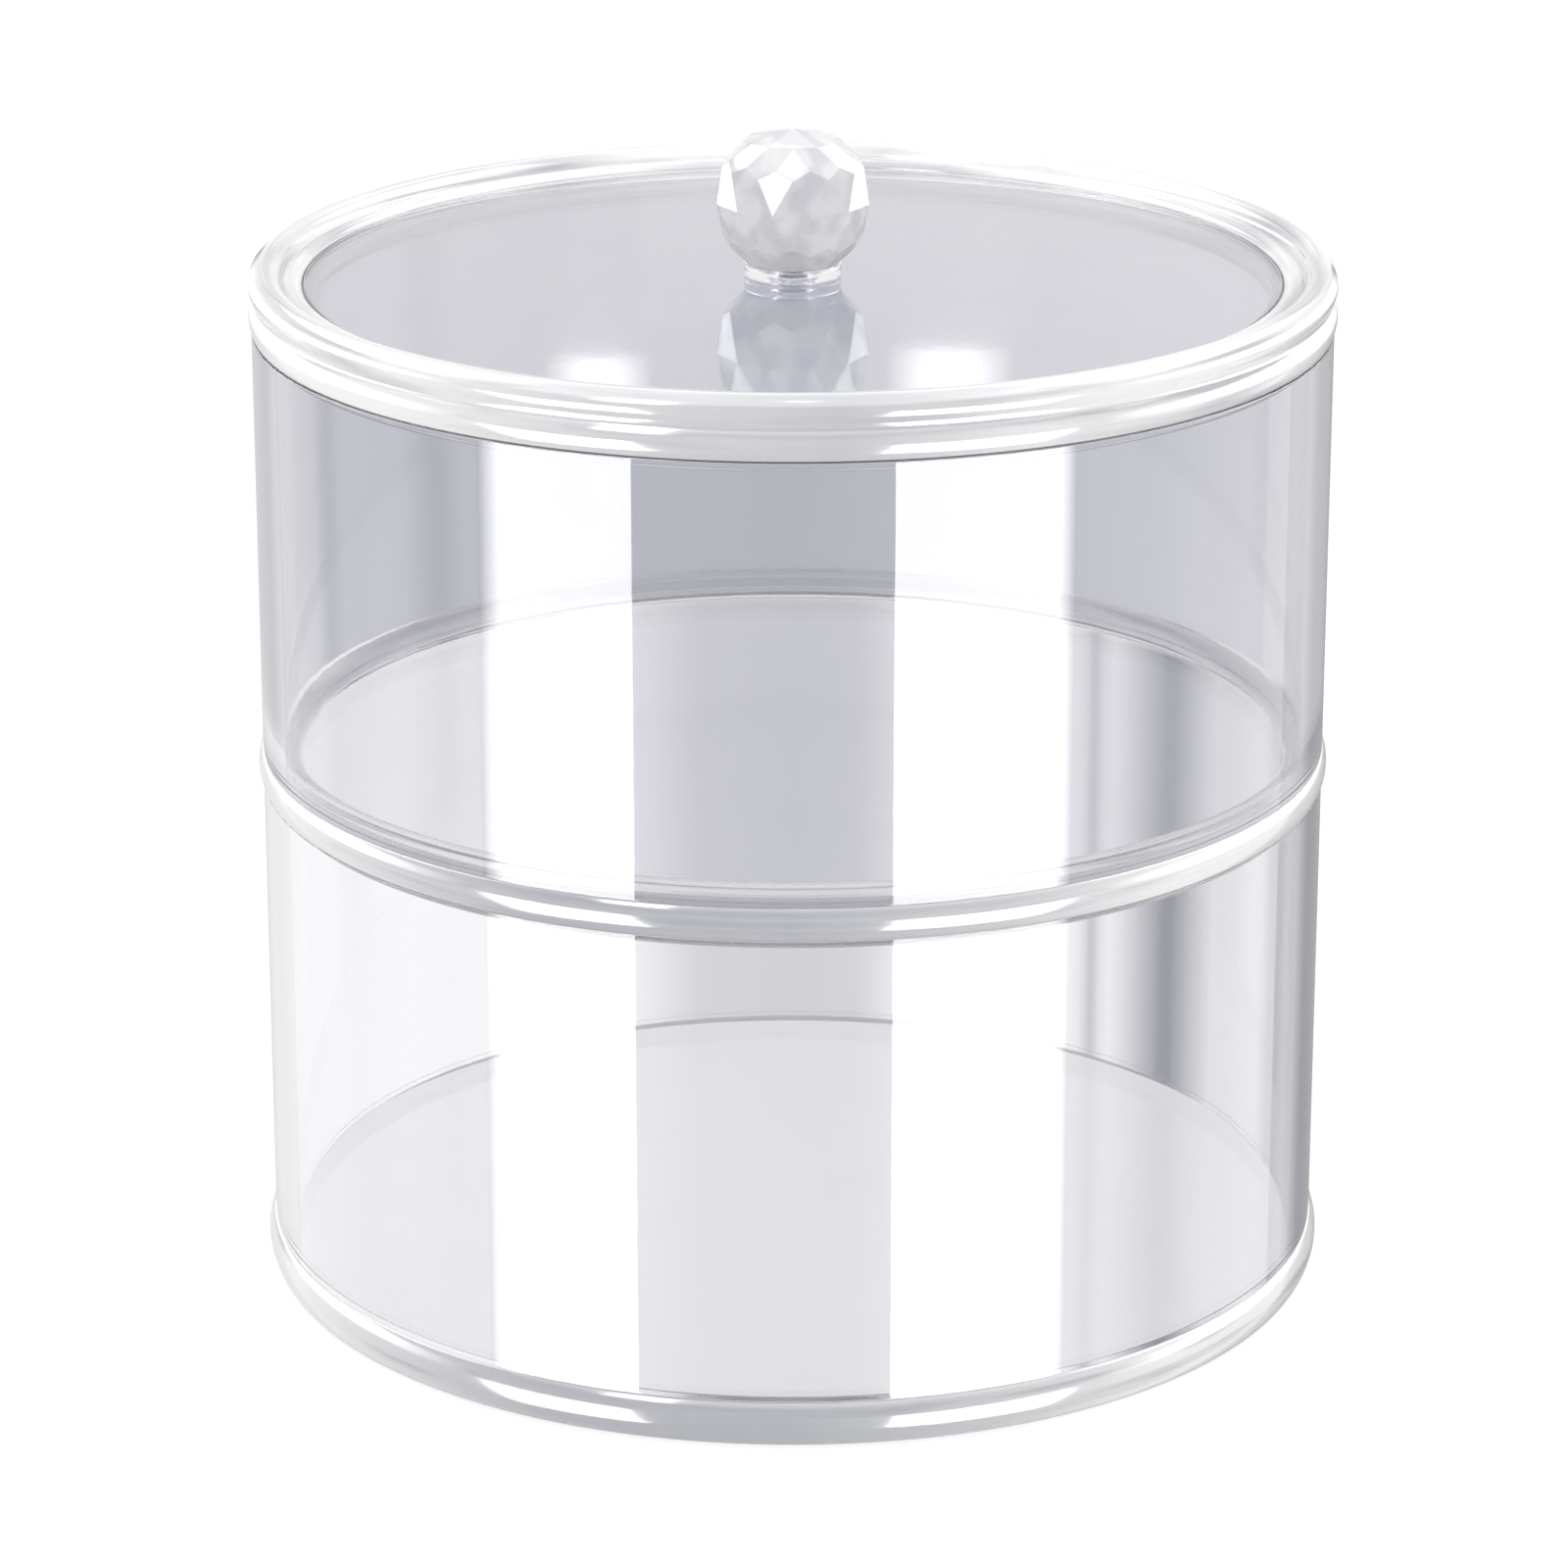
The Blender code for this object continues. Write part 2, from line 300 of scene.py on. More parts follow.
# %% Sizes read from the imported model
GLUE = 0.00002
WALL_THICKNESS = 0.0024
WALL_ROUNDING = 0.0004
WALL_END_ROUNDING = 0.00006
WALL_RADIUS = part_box("lower_wall")[1].x
WALL_BORE = WALL_RADIUS - WALL_THICKNESS

base_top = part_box("base_plate")[1].z
base_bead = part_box("base_plate")[1].x - WALL_RADIUS
floor_low, floor_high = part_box("upper_floor")
floor_bead = floor_high.x - WALL_RADIUS
STEP_DEPTH = 0.0015
STEP_RADIUS = WALL_BORE - 0.0004
DISC_EDGE_STEPS = 24
floor_foot = floor_low.z + STEP_DEPTH
rim_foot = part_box("lid_rim")[0].z + STEP_DEPTH
lower_wall_top = floor_foot - GLUE
upper_wall_top = rim_foot - GLUE
print("walls end at, mm:", round(1000 * lower_wall_top, 2), round(1000 * upper_wall_top, 2))


# %% Walls, discs and foot ring
def disc_edge(top, foot, bead):
    """A disc's edge: a short bulge between two small flats, run clockwise from the top."""
    return np.vstack([
        [(WALL_BORE, top), (WALL_RADIUS - SUPPORT, top)],
        bulge((WALL_RADIUS, top), (WALL_RADIUS, foot), bead, DISC_EDGE_STEPS),
        [(WALL_RADIUS - SUPPORT, foot)],
    ])


base_plate = turned("base_plate_clear", np.vstack([
    [(0, base_top)], disc_edge(base_top, 0, base_bead), [(0, 0)],
]))
lower_wall = turned("lower_wall_clear", ring_section(
    WALL_BORE, WALL_RADIUS, base_top + GLUE, lower_wall_top, WALL_END_ROUNDING))
upper_floor = turned("upper_floor_clear", np.vstack([
    [(0, floor_high.z)],
    disc_edge(floor_high.z, floor_foot, floor_bead),
    [(STEP_RADIUS + SUPPORT, floor_foot), (STEP_RADIUS, floor_foot), (STEP_RADIUS, floor_foot - SUPPORT)],
    corner(STEP_RADIUS, floor_low.z, WALL_ROUNDING, 1),
    [(0, floor_low.z)],
]))
upper_wall = turned("upper_wall_clear", ring_section(
    WALL_BORE, WALL_RADIUS, floor_high.z + GLUE, upper_wall_top, WALL_END_ROUNDING))

FOOT_RING_WIDTH = 0.0020
FOOT_RING_HEIGHT = 0.0023
FOOT_RING_BULGE = 0.2
ring_outer = WALL_BORE - GLUE
ring_foot = floor_high.z + GLUE
ring_rise = FOOT_RING_BULGE * math.hypot(FOOT_RING_WIDTH, FOOT_RING_HEIGHT)
foot_ring = turned("upper_foot_ring_clear", np.vstack([
    bulge((ring_outer - FOOT_RING_WIDTH, ring_foot), (ring_outer, ring_foot + FOOT_RING_HEIGHT), ring_rise),
    [(ring_outer, ring_foot + FOOT_RING_HEIGHT - SUPPORT), (ring_outer, ring_foot + SUPPORT)],
    [(ring_outer, ring_foot), (ring_outer - SUPPORT, ring_foot)],
    [(ring_outer - FOOT_RING_WIDTH + SUPPORT, ring_foot)],
]))
print("turned", base_plate.name, lower_wall.name, upper_floor.name, upper_wall.name, foot_ring.name)

# %% [markdown]
# ## Lid rim
#
# The rim is a moulded ring. Seen from above it has a narrow inner bead, a groove and a round outer bead;
# below the outer bead a second groove parts it from a lower bead that hides the wall's top edge. A lip
# drops inside the wall to locate the lid, and a ledge carries the panel. All of this is one section.

# %% Lid rim
RIM_BEAD_RADIUS = 0.0018
RIM_BEAD_END = -math.pi / 5
RIM_BEAD_STEPS = 40
INNER_BEAD_WIDTH = 0.0024
INNER_BEAD_RISE = 0.0006
GROOVE_WIDTH = 0.0008
LOWER_BEAD_RISE = 0.0005
LOWER_BEAD_STEPS = 20
LIP_THICKNESS = 0.0012
LEDGE_WIDTH = 0.0012

rim_low, rim_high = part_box("lid_rim")
panel_low, panel_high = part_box("lid_panel")
rim_bore = rim_high.x - 2 * RIM_BEAD_RADIUS - INNER_BEAD_WIDTH
ledge_top = panel_low.z - GLUE
lip_bore = STEP_RADIUS - LIP_THICKNESS
lower_bead_radius = rim_high.x - LOWER_BEAD_RISE

outer_bead = arc((rim_high.x - RIM_BEAD_RADIUS, rim_high.z - RIM_BEAD_RADIUS), RIM_BEAD_RADIUS,
                 math.pi, RIM_BEAD_END, RIM_BEAD_STEPS)
lower_bead = bulge((lower_bead_radius, outer_bead[-1][1] - GROOVE_WIDTH), (lower_bead_radius, rim_foot),
                   LOWER_BEAD_RISE, LOWER_BEAD_STEPS)
lid_rim = turned("lid_rim_clear", np.vstack([
    bulge((rim_bore, panel_high.z), outer_bead[0], INNER_BEAD_RISE)[:-1],
    outer_bead,
    lower_bead,
    [(lower_bead_radius - SUPPORT, rim_foot), (STEP_RADIUS + SUPPORT, rim_foot), (STEP_RADIUS, rim_foot)],
    corner(STEP_RADIUS, rim_low.z, WALL_ROUNDING, 1),
    corner(lip_bore, rim_low.z, WALL_ROUNDING, 2),
    [(lip_bore, rim_foot), (rim_bore - LEDGE_WIDTH, rim_foot), (rim_bore - LEDGE_WIDTH, ledge_top)],
    [(rim_bore, ledge_top), (rim_bore, panel_high.z - SUPPORT)],
]))
print("rim section reaches", round(1000 * rim_high.z, 2), "mm high")

# %% [markdown]
# ## Panel, collar and pin
#
# The panel is a disc of sheet with a hole for the pin that holds the knob. The collar is a low round
# spacer with soft edges, and the pin runs up through both into the ball.

# %% Panel, collar and pin
PANEL_ROUNDING = 0.0003
COLLAR_ROUNDING = 0.0004
PIN_ROUNDING = 0.0003
COLLAR_SECTORS = 128
PIN_SECTORS = 96
collar_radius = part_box("knob_collar")[1].x
collar_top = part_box("knob_ball")[0].z - GLUE
pin_low, pin_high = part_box("knob_pin")
pin_hole = pin_high.x + GLUE

lid_panel = turned("lid_panel_clear", ring_section(
    pin_hole, rim_bore - GLUE, panel_low.z, panel_high.z, PANEL_ROUNDING))
knob_collar = turned("knob_collar_clear", ring_section(
    pin_hole, collar_radius, panel_high.z + GLUE, collar_top, COLLAR_ROUNDING), COLLAR_SECTORS)
knob_pin = turned("knob_pin_clear", np.vstack([
    [(0, pin_high.z)],
    corner(pin_high.x, pin_high.z, PIN_ROUNDING, 0),
    corner(pin_high.x, pin_low.z, PIN_ROUNDING, 1),
    [(0, pin_low.z)],
]), PIN_SECTORS)
print("panel", round(1000 * panel_low.z, 2), "to", round(1000 * panel_high.z, 2), "mm")

# %% [markdown]
# ## Faceted ball
#
# The knob is a ball cut with flat facets, twelve in a row: triangles at the crown, small kites, large
# kites, triangles on both sides of the girdle, and the same again below, down to the flat foot that
# stands on the collar. A subdivided sphere with flat shading would have facets, but not in these rows.
# Rings of corners turned by half a facet from one to the next give them. All corners lie on one ball,
# and where each ring lies follows from the kites being flat. A small bevel catches light on each edge.

# %% Rings of corners
FACETS = 12
KITE_SIDE_LATITUDE = math.radians(26)
BALL_RADIUS = 0.0087
FOOT_DEPTH = 0.0069
ball_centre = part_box("knob_ball")[0].z + FOOT_DEPTH

flat = math.cos(math.pi / FACETS)
side_height = BALL_RADIUS * math.sin(KITE_SIDE_LATITUDE)
side_radius = BALL_RADIUS * math.cos(KITE_SIDE_LATITUDE)
slope = (BALL_RADIUS - side_radius * flat) / side_height
tip_height = 2 * slope * BALL_RADIUS / (1 + slope ** 2)
tip_radius = BALL_RADIUS - slope * tip_height
shoulder_slope = (side_radius - tip_radius * flat) / (tip_height - side_height)
shoulder_rise = 2 * (shoulder_slope * side_radius - side_height) / (1 + shoulder_slope ** 2)
foot_radius = side_radius - shoulder_slope * (FOOT_DEPTH - side_height)


def corner_ring(height, radius, half_turned):
    """Twelve corners round the axis: (r cos t, r sin t, z), with t starting at 0 or half a facet on."""
    turn = 2 * np.pi * (np.arange(FACETS) + half_turned / 2) / FACETS
    return np.stack([radius * np.cos(turn), radius * np.sin(turn), height + 0 * turn], axis=1)


rings = np.vstack([
    corner_ring(side_height + shoulder_rise, side_radius - shoulder_slope * shoulder_rise, 0),
    corner_ring(tip_height, tip_radius, 1),
    corner_ring(side_height, side_radius, 0),
    corner_ring(0, BALL_RADIUS, 1),
    corner_ring(-side_height, side_radius, 0),
    corner_ring(-tip_height, tip_radius, 1),
    corner_ring(-FOOT_DEPTH, foot_radius, 0),
])
print("facet rings, mm from the middle:", sorted(set(np.round(1000 * rings[:, 2], 2))))

# %% Faceted ball
SOCKET_SIDES = 4 * FACETS
CROWN_TIP = 0.93
POLISHED_EDGE = 0.00006
SHARP_FROM = math.radians(8)
socket_turn = 2 * np.pi * np.arange(SOCKET_SIDES) / SOCKET_SIDES
socket_ring = np.stack([pin_hole * np.cos(socket_turn), pin_hole * np.sin(socket_turn)], axis=1)
socket_mouth = np.column_stack([socket_ring, np.full(SOCKET_SIDES, -FOOT_DEPTH)])
socket_roof = np.column_stack([socket_ring, np.full(SOCKET_SIDES, pin_high.z + GLUE - ball_centre)])

corners = np.vstack([[(0, 0, CROWN_TIP * BALL_RADIUS)], rings, socket_mouth, socket_roof])
corners[:, 2] += ball_centre

facet = np.arange(FACETS)
before, after = np.roll(facet, 1), np.roll(facet, -1)
shoulder, tip, kite_side, girdle, low_side, low_tip, foot = 1 + FACETS * np.arange(7)
mouth = foot + FACETS
roof = mouth + SOCKET_SIDES
side = np.arange(SOCKET_SIDES)
next_side = np.roll(side, -1)
along_side = (4 * facet[:, None] + np.arange(5)) % SOCKET_SIDES
face_groups = [
    [0 * facet, shoulder + facet, shoulder + after],
    [shoulder + facet, tip + facet, shoulder + after],
    [shoulder + facet, tip + before, kite_side + facet, tip + facet],
    [tip + facet, kite_side + facet, girdle + facet, kite_side + after],
    [kite_side + after, girdle + facet, girdle + after],
    [girdle + facet, low_side + after, girdle + after],
    [girdle + facet, low_side + facet, low_tip + facet, low_side + after],
    [low_side + facet, low_tip + before, foot + facet, low_tip + facet],
    [low_tip + facet, foot + facet, foot + after],
    [foot + after, foot + facet, *(mouth + along_side).T],
    [mouth + side, roof + side, roof + next_side, mouth + next_side],
]
ball_faces = [face.tolist() for group in face_groups for face in np.column_stack(group)]
ball_faces.append((roof + side[::-1]).tolist())
knob_ball = mesh_piece("knob_ball_clear", corners, ball_faces, False)
polish = knob_ball.modifiers.new("polished edges", "BEVEL")
polish.width = POLISHED_EDGE
polish.segments = 1
polish.limit_method = "ANGLE"
polish.angle_limit = SHARP_FROM
print("ball of", len(ball_faces), "faces")

# %% [markdown]
# ## Clear plastic
#
# Clear acrylic is a smooth, colourless plastic of refractive index 1.49, and a thick piece of it is a
# little under white. Each stock also carries the marks of how it was made: drawn tube has faint upright
# lines, and sheet has a trace of polishing haze. One flat colour would look like bad computer glass. So
# each finish has a tint, a gloss and a relief that vary together, read from noise on the piece itself.

# %% Clear plastic
ACRYLIC_INDEX = 1.49


def clear_plastic(made, colour, roughness, marks, depth, clearness=1.0):
    """Sets a graph's shader to clear acrylic, with marks of the given depth in metres on its surface."""
    made.set(Base_Color=colour, Roughness=roughness, Metallic=0, IOR=ACRYLIC_INDEX)
    made.set(Transmission_Weight=clearness)
    made.set(Normal=made.node("ShaderNodeBump", {}, {"Height": marks, "Distance": depth}))


def drawn_tube(name, dark, pale):
    """Acrylic tube with faint upright lines from drawing, from the dark to the pale tint."""
    made = finish(name)
    lines = made.noise(made.place((1, 1, 0.012)), scale=420.0, detail=3.0, roughness=0.6)
    bands = made.noise(made.place((1, 1, 0.02)), scale=90.0)
    clear_plastic(made, made.blend(bands, dark, pale), 0.01 + 0.03 * lines, lines, depth=0.000003)
    return made


def polished_sheet(name, dark, pale):
    """Acrylic sheet with a trace of polishing haze, from the dark to the pale tint."""
    made = finish(name)
    haze = made.noise(made.place(), scale=90.0, detail=4.0, roughness=0.6)
    clear_plastic(made, made.blend(haze, dark, pale), 0.01 + 0.04 * haze, haze, depth=0.000006)
    return made


upper_tube = drawn_tube("clear drawn tube, upper", (0.94, 0.94, 0.96, 1), (0.985, 0.985, 1.0, 1))
lower_tube = drawn_tube("clear drawn tube, lower", (0.955, 0.955, 0.97, 1), (0.99, 0.99, 1.0, 1))
sheet = polished_sheet("clear polished sheet", (0.95, 0.952, 0.965, 1), (0.99, 0.99, 0.995, 1))
base_sheet = polished_sheet("clear thick sheet", (0.90, 0.903, 0.92, 1), (0.95, 0.952, 0.965, 1))
panel_sheet = polished_sheet("clear lid sheet", (0.86, 0.87, 0.95, 1), (0.95, 0.955, 1.0, 1))
panel_sheet.set(Coat_Weight=0.7, Coat_Roughness=0.05, Coat_IOR=1.9)
print("tube and sheet finishes ready")

# %% [markdown]
# ## Milky beads
#
# The rim and the rounded disc edges are softer in look than the flat stock. The plastic there has a milky
# bloom and grey flow streaks that follow the ring, under a thin gloss. Painted shade makes the plastic
# more grey on one side of the ring: at the front for the rim and disc edges, at the back for the foot
# ring. A streak that follows a ring can't come from noise on x, y and z alone. Noise read at the
# direction from the axis gives one, because that direction changes slowly along the ring and the
# pattern meets itself again after a turn.

# %% Milky beads
def turn_share(made):
    """How far round the axis a point lies: 0 and 1 at the back, 0.5 at the camera's side."""
    x, y, z = made.axes()
    turn = made.node("ShaderNodeMath", {"operation": "ARCTAN2"}, {0: x, 1: -1 * y})
    return turn * (0.5 / math.pi) + 0.5


def round_ramp(made, stops):
    """A grey level from (degrees round from the camera's side, level) stops."""
    return made.ramp([(degrees / 360 + 0.5, level) for degrees, level in stops], turn_share(made))


def ring_flow(made, around, across):
    """Soft streaks that follow a ring. The noise is read at the point's direction from the axis times
    around, and at its height less its radius times across, so the pattern meets itself after a turn."""
    x, y, z = made.axes()
    radius = (x * x + y * y) ** 0.5
    east, north = around * x * radius ** -1, around * y * radius ** -1
    where = made.node("ShaderNodeCombineXYZ", {}, {0: east, 1: north, 2: across * (z - radius)})
    return made.noise(where, scale=1.0)


def moulded_bead(name, grey, clear_from, painted_shade, clearness):
    """Milky clear acrylic with a thin gloss and soft grey streaks along the ring. The streaks lie where
    the flow is below a value, and painted shade, given as levels round the ring, turns the plastic more
    grey where its level is low."""
    made = finish(name)
    flow = ring_flow(made, 1.8, 500.0)
    white = made.ramp([(clear_from, 0.0), (clear_from + 0.2, 1.0)], flow) * round_ramp(made, painted_shade)
    tint = made.blend(white, grey, (1.0, 1.0, 1.0, 1))
    clear_plastic(made, tint, 0.08 + 0.08 * flow, flow, depth=0.00001, clearness=clearness)
    made.set(Coat_Weight=1.0, Coat_Roughness=0.12, Coat_IOR=1.7)
    return made


# Painted shade: levels round the ring, in degrees from the camera's side; a low level turns the bead grey
# there.
RIM_PAINTED_SHADE = [(-45, 1.0), (-20, 0.4), (5, 0.1), (22, 0.7), (34, 1.0)]
BEAD_PAINTED_SHADE = [(-68, 1.0), (-40, 0.4), (-26, 0.15), (0, 0.15), (22, 0.45), (42, 1.0)]
FOOT_PAINTED_SHADE = [(-180, 0.3), (-160, 0.5), (-145, 1.0), (145, 1.0), (165, 0.5), (180, 0.3)]
moulded = moulded_bead("clear moulded rim", (0.58, 0.585, 0.62, 1), 0.33, RIM_PAINTED_SHADE, 0.12)
bead = moulded_bead("clear turned bead", (0.40, 0.41, 0.46, 1), 0.20, BEAD_PAINTED_SHADE, 0.18)
foot_bead = moulded_bead("clear foot bead", (0.80, 0.805, 0.83, 1), 0.15, FOOT_PAINTED_SHADE, 0.97)
print("bead finishes ready")

# %% [markdown]
# ## Crystal
#
# The collar, the pin and the lid's lip are turned and left clear. The ball is cut and then polished. Up
# close its facets are not all equally clear: some look white and some grey, because each one shows a
# different part of the room. Soft clouds of grey painted into its colour copy that unevenness, a painted
# reflection that stays the same under any light, and painted shade makes its lower half a little more
# grey towards the front, where it stands over the grey panel.

# %% Crystal
crystal = finish("clear turned crystal")
grain = crystal.noise(crystal.place(), scale=600.0, detail=3.0, roughness=0.6)
crystal_colour = crystal.blend(grain, (0.86, 0.865, 0.89, 1), (0.95, 0.952, 0.965, 1))
clear_plastic(crystal, crystal_colour, 0.01 + 0.05 * grain, grain, depth=0.00001)

cut_crystal = finish("cut clear acrylic")
cloud_and_painted_reflection = cut_crystal.noise(cut_crystal.place(), scale=260.0, detail=1.0, roughness=0.4)
# Painted reflection: clouds of white and grey on the facets.
painted_reflection_patches = cut_crystal.ramp([(0.40, 0.5), (0.52, 1.0)], cloud_and_painted_reflection)
ball_foot = ball_centre - FOOT_DEPTH
ball_rise = (cut_crystal.axes()[2] - ball_foot) * (1 / (FOOT_DEPTH + BALL_RADIUS))
# Painted shade: the lower half of the ball turns grey towards the front.
below = cut_crystal.ramp([(0.0, 0.0), (0.2, 0.1), (0.42, 0.2), (0.6, 0.4), (0.8, 0.1)], ball_rise)
front = round_ramp(cut_crystal, [(-75, 0.0), (-42, 1.0), (38, 1.0), (62, 0.0)])
cut_colour = cut_crystal.blend(
    painted_reflection_patches * (1 - below * front), (0.60, 0.61, 0.68, 1), (1.0, 1.0, 1.0, 1))
clear_plastic(cut_crystal, cut_colour, 0.01 + 0.03 * cloud_and_painted_reflection, cloud_and_painted_reflection, depth=0.000003, clearness=0.35)
print("crystal finishes ready")

# %% [markdown]
# ## Dressing the pieces
#
# Each surface gets its finish and the body it moves with, and the imported node it replaces is hidden;
# the table also lists the stock it is made of, which nothing here reads. A disc is one piece of plastic,
# but its rounded edge looks milky and its flat face clear, so the faces beyond the wall take a second
# finish. Two separate pieces would show a seam inside the plastic.

# %% Dressing the pieces
dressed = {
    "base_plate": (base_plate, base_sheet, "clear_sheet", "lower_tier"),
    "lower_wall": (lower_wall, lower_tube, "clear_tube", "lower_tier"),
    "upper_floor": (upper_floor, sheet, "clear_sheet", "upper_tier"),
    "upper_wall": (upper_wall, upper_tube, "clear_tube", "upper_tier"),
    "upper_foot_ring": (foot_ring, foot_bead, "clear_moulded", "upper_tier"),
    "lid_rim": (lid_rim, moulded, "clear_moulded", "lid"),
    "lid_panel": (lid_panel, panel_sheet, "clear_sheet", "lid"),
    "knob_collar": (knob_collar, crystal, "clear_moulded", "lid"),
    "knob_pin": (knob_pin, crystal, "clear_moulded", "lid"),
    "knob_ball": (knob_ball, cut_crystal, "cut_crystal", "lid"),
}
for node, (piece, made, stock, body) in dressed.items():
    piece.data.materials.append(made.owner)
    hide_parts(node)
    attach(piece, body)

BEAD_START = 0.0585


def second_finish(piece, made, chosen):
    """Gives the faces whose (distance from the axis, height) pass the test a second material."""
    piece.data.materials.append(made.owner)
    centres = np.zeros(3 * len(piece.data.polygons))
    piece.data.polygons.foreach_get("center", centres)
    x, y, z = centres.reshape(-1, 3).T
    piece.data.polygons.foreach_set("material_index", chosen(np.hypot(x, y), z).astype(int))


second_finish(base_plate, bead, lambda reach, z: reach > BEAD_START)
second_finish(upper_floor, bead, lambda reach, z: reach > BEAD_START)
second_finish(lid_rim, crystal, lambda reach, z: z < rim_foot + SUPPORT)
print(len(dressed), "pieces dressed")

# %% [markdown]
# ## Floor
#
# Clear plastic has hardly any colour of its own: what one sees is the room, bent and mirrored. The
# photograph was taken in a white studio, on a white floor that keeps only a faint shadow. A floor that
# is lit to white would light the box from below as well. This floor is a plain pale one to the lamps,
# and it glows to white only where it is looked at, directly, in a reflection or through the plastic.

# %% Floor
FLOOR_RADIUS = 6.0
FLOOR_SIDES = 96
FLOOR_DROP = 0.0002
FLOOR_GLOW = 0.80


def shown(graph):
    """1 for what the camera sees, directly, mirrored or through the plastic, and 0 for other light."""
    kinds = ("Is Camera Ray", "Is Glossy Ray", "Is Transmission Ray")
    direct, mirrored, refracted = [graph.node("ShaderNodeLightPath", output=kind) for kind in kinds]
    seen = {0: direct + mirrored + refracted, 1: 1.0}
    return graph.node("ShaderNodeMath", {"operation": "MINIMUM"}, seen)


floor_finish = finish("white studio floor")
in_view = shown(floor_finish)
floor_colour = floor_finish.blend(in_view, (0.9, 0.9, 0.9, 1), (0.24, 0.24, 0.24, 1))
floor_finish.set(Base_Color=floor_colour, Roughness=0.9, Specular_IOR_Level=0.0)
floor_glow = floor_finish.blend(in_view, (0, 0, 0, 1), (FLOOR_GLOW, FLOOR_GLOW, FLOOR_GLOW, 1))
floor_finish.set(Emission_Color=floor_glow, Emission_Strength=1.0)

floor_turn = np.linspace(0, 2 * np.pi, FLOOR_SIDES, endpoint=False)
floor_rim = FLOOR_RADIUS * np.stack([np.cos(floor_turn), np.sin(floor_turn)], axis=1)
floor_points = np.column_stack([floor_rim, np.full(FLOOR_SIDES, -FLOOR_DROP)])
floor = mesh_piece("floor", floor_points, [list(range(FLOOR_SIDES))], False)
floor.data.materials.append(floor_finish.owner)
floor.visible_glossy = False
print("floor", 2 * FLOOR_RADIUS, "m across")

# %% [markdown]
# ## Grey card behind the box
#
# A clear wall in front of white paper can hardly be seen. Photographers of glass therefore hold a grey
# card close behind the object, so that its walls show as soft grey shapes. This card is bent round the
# back of the box, a hair away from it. Its upper part is greyer than its lower part, it has a few darker
# streaks, and it fades out at its two ends. It is seen through the plastic only, so the plain background
# stays. The two parts meet where the line of sight over the foot ring, which falls on its way back, meets
# the card. Tinting the walls would give the same picture, but the box would be grey in any other light.

# %% Grey card
CARD_RADIUS = 0.0622
CARD_TOP = 0.112
CARD_LIFT = 0.0003
CARD_END = 74.0
CARD_COLUMNS = 128
CAMERA_FALL = 0.30


def streaked(base, streaks):
    """Stops for a base level with darker streaks in it. A streak at (degrees, half width, cut) lowers
    the base level there by the share cut, and fades to nothing half a width to each side."""
    degrees, levels = np.array(base).T
    stops = list(base)
    for middle, half_width, cut in streaks:
        for place, share in ((middle - half_width, 0), (middle, cut), (middle + half_width, 0)):
            stops.append((place, float(np.interp(place, degrees, levels)) * (1 - share)))
    return sorted(stops)


UPPER_CARD = streaked(
    [(-180, 0.32), (-160, 0.34), (-125, 0.44), (-84, 0.40), (-74, 1.0), (74, 1.0), (84, 0.50),
     (110, 0.58), (134, 0.48), (180, 0.32)],
    [(-134, 5, 0.3), (-113, 4, 0.5), (111, 4, 0.25)])
LOWER_CARD = streaked(
    [(-180, 0.59), (-169, 0.62), (-159, 1.0), (-100, 1.0), (-84, 0.85), (-74, 1.0), (74, 1.0),
     (84, 0.2), (102, 0.2), (109, 0.8), (120, 0.72), (145, 0.92), (165, 1.0), (172, 0.62), (180, 0.59)],
    [(130, 9, 0.97), (142, 2, 0.5)])
card_turn = np.radians(np.linspace(CARD_END, 360 - CARD_END, CARD_COLUMNS))
card_line = np.stack([CARD_RADIUS * np.sin(card_turn), -CARD_RADIUS * np.cos(card_turn)], axis=1)
card_points = np.vstack([
    np.column_stack([card_line, np.full(CARD_COLUMNS, height)]) for height in (CARD_TOP, CARD_LIFT)])
column = np.arange(CARD_COLUMNS - 1)
card_quads = np.column_stack([
    column, column + 1, column + CARD_COLUMNS + 1, column + CARD_COLUMNS])
grey_card = mesh_piece("grey_card", card_points, card_quads.tolist(), False)

card_finish = finish("grey card")
card_split = floor_high.z + FOOT_RING_HEIGHT - CAMERA_FALL * (CARD_RADIUS - WALL_BORE)
above_floor = card_finish.node(
    "ShaderNodeMath", {"operation": "GREATER_THAN"}, {0: card_finish.axes()[2], 1: card_split})
upper_grey = card_finish.blend(
    round_ramp(card_finish, UPPER_CARD), (0.15, 0.155, 0.22, 1), (1, 1, 1, 1))
lower_grey = card_finish.blend(
    round_ramp(card_finish, LOWER_CARD), (0.12, 0.125, 0.175, 1), (1, 1, 1, 1))
# The card glows at these painted grey levels and no lamp lights it: painted shade that shows only in the
# walls.
card_finish.set(Base_Color=(0, 0, 0, 1), Specular_IOR_Level=0.0, Emission_Strength=1.0)
card_finish.set(Emission_Color=card_finish.blend(above_floor, lower_grey, upper_grey))
grey_card.data.materials.append(card_finish.owner)
grey_card.visible_camera = False
grey_card.visible_diffuse = False
grey_card.visible_glossy = False
grey_card.visible_shadow = False
print("grey card of", len(card_quads), "columns")

# %% [markdown]
# ## World and lamps
#
# The world is plain white as a background and as a light. Its mirror image is uneven, as a studio's is,
# and gives the rims their soft bright and dark lines. The two tall soft boxes of the photograph are far
# too bright to show in a plain background, so they and the smaller boxes and cards are glowing sheets
# that show in reflections alone, as upright white bands down the walls and lines along the beads. Two
# small patches behind the box show at the front edge of the lid's panel.

